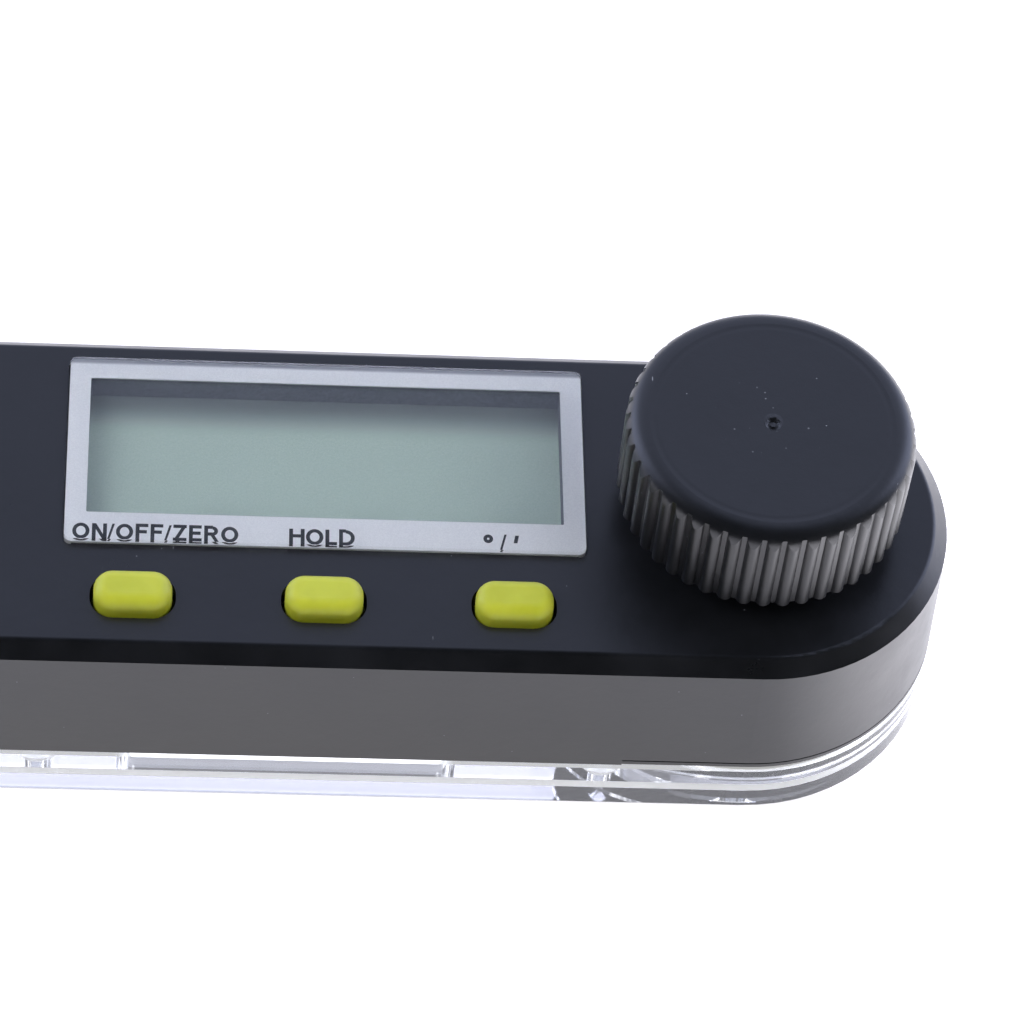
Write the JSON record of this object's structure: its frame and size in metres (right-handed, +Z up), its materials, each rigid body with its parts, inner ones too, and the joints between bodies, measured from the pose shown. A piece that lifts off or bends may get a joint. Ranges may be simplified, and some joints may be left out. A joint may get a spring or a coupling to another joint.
{
  "type": "digital angle rule",
  "caption": "Digital angle rule: a display case with a thumb-screw clamp on two clear flat arms that turn about one pivot.",
  "frame": {"origin": "on the pivot axis at the underside of the lower arm, in the face of the flush bolt head", "axes": "+Z up along the pivot axis, arms and case along -X from the pivot, buttons towards -Y"},
  "size_m": [0.2221, 0.0382, 0.0363],
  "materials": {
    "clear_acrylic": "clear polished acrylic",
    "clear_lens": "clear polished acrylic",
    "black_abs": "satin moulded ABS",
    "silver_ink": "silver screen-printed ink",
    "lcd_glass": "display glass with polariser film",
    "reflector": "grey-green reflective polariser",
    "grey_foam": "soft silicone and foam",
    "lime_rubber": "satin lime silicone",
    "switch_plastic": "moulded nylon",
    "green_board": "solder-masked glass-epoxy",
    "black_epoxy": "moulded epoxy",
    "nickel_steel": "nickel-plated steel",
    "zinc_steel": "zinc-plated steel",
    "brass": "turned brass",
    "white_ptfe": "waxy PTFE",
    "grey_acetal": "moulded grey acetal"
  },
  "bodies": {
    "case": {"upper_arm": "clear_acrylic", "top_cover": "black_abs", "bottom_cover": "black_abs", "display_lens": "clear_lens", "lens_border_film": "silver_ink", "display_front_glass": "lcd_glass", "display_rear_glass": "lcd_glass", "display_reflector": "reflector", "display_backing_foam": "grey_foam", "display_zebra_strip": "grey_foam", "display_carrier": "black_abs", "switch_bodies": "switch_plastic", "main_board": "green_board", "controller_chip": "black_epoxy", "board_components": "black_epoxy", "coin_cell": "nickel_steel", "battery_minus_spring": "nickel_steel", "battery_plus_clip": "nickel_steel", "link_header": "black_epoxy", "encoder_stator": "green_board", "pivot_bush": "brass", "friction_washer": "white_ptfe", "cover_screws": "zinc_steel", "arm_screws": "zinc_steel", "board_screws": "zinc_steel", "stator_screws": "zinc_steel"},
    "turning_arm": {"lower_arm": "clear_acrylic", "pivot_hub": "grey_acetal", "hub_screws": "zinc_steel", "encoder_rotor": "green_board", "pivot_bolt": "zinc_steel", "glide_ring": "white_ptfe", "wave_washer": "nickel_steel"},
    "clamp": {"thrust_washer": "zinc_steel"},
    "knob": {"clamp_knob": "black_abs", "knob_insert": "brass"},
    "zero_key": {"zero_button": "lime_rubber", "zero_switch_plunger": "switch_plastic"},
    "hold_key": {"hold_button": "lime_rubber", "hold_switch_plunger": "switch_plastic"},
    "unit_key": {"unit_button": "lime_rubber", "unit_switch_plunger": "switch_plastic"},
    "door": {"battery_door": "black_abs"}
  },
  "joints": [
    {"name": "arm_swing", "type": "hinge", "parent": "case", "child": "turning_arm", "pos_m": [0, 0, 0.00325], "axis": [0, 0, 1], "continuous": true},
    {"name": "knob_lift", "type": "slide", "parent": "turning_arm", "child": "clamp", "axis": [0, 0, 1], "range_m": [0, 0.00075]},
    {"name": "knob_turn", "type": "hinge", "parent": "clamp", "child": "knob", "pos_m": [0, 0, 0.03], "axis": [0, 0, 1], "range_deg": [0, 270]},
    {"name": "zero_press", "type": "slide", "parent": "case", "child": "zero_key", "axis": [0, 0, -1], "range_m": [0, 0.0005], "stiffness_N_per_m": 300},
    {"name": "hold_press", "type": "slide", "parent": "case", "child": "hold_key", "axis": [0, 0, -1], "range_m": [0, 0.0005], "stiffness_N_per_m": 300},
    {"name": "unit_press", "type": "slide", "parent": "case", "child": "unit_key", "axis": [0, 0, -1], "range_m": [0, 0.0005], "stiffness_N_per_m": 300},
    {"name": "door_slide", "type": "slide", "parent": "case", "child": "door", "axis": [1, 0, 0], "range_m": [0, 0.003]}
  ],
  "couplings": [
    {"joint": "knob_turn", "follows": "knob_lift", "rad_per_m": 6283.2}
  ]
}
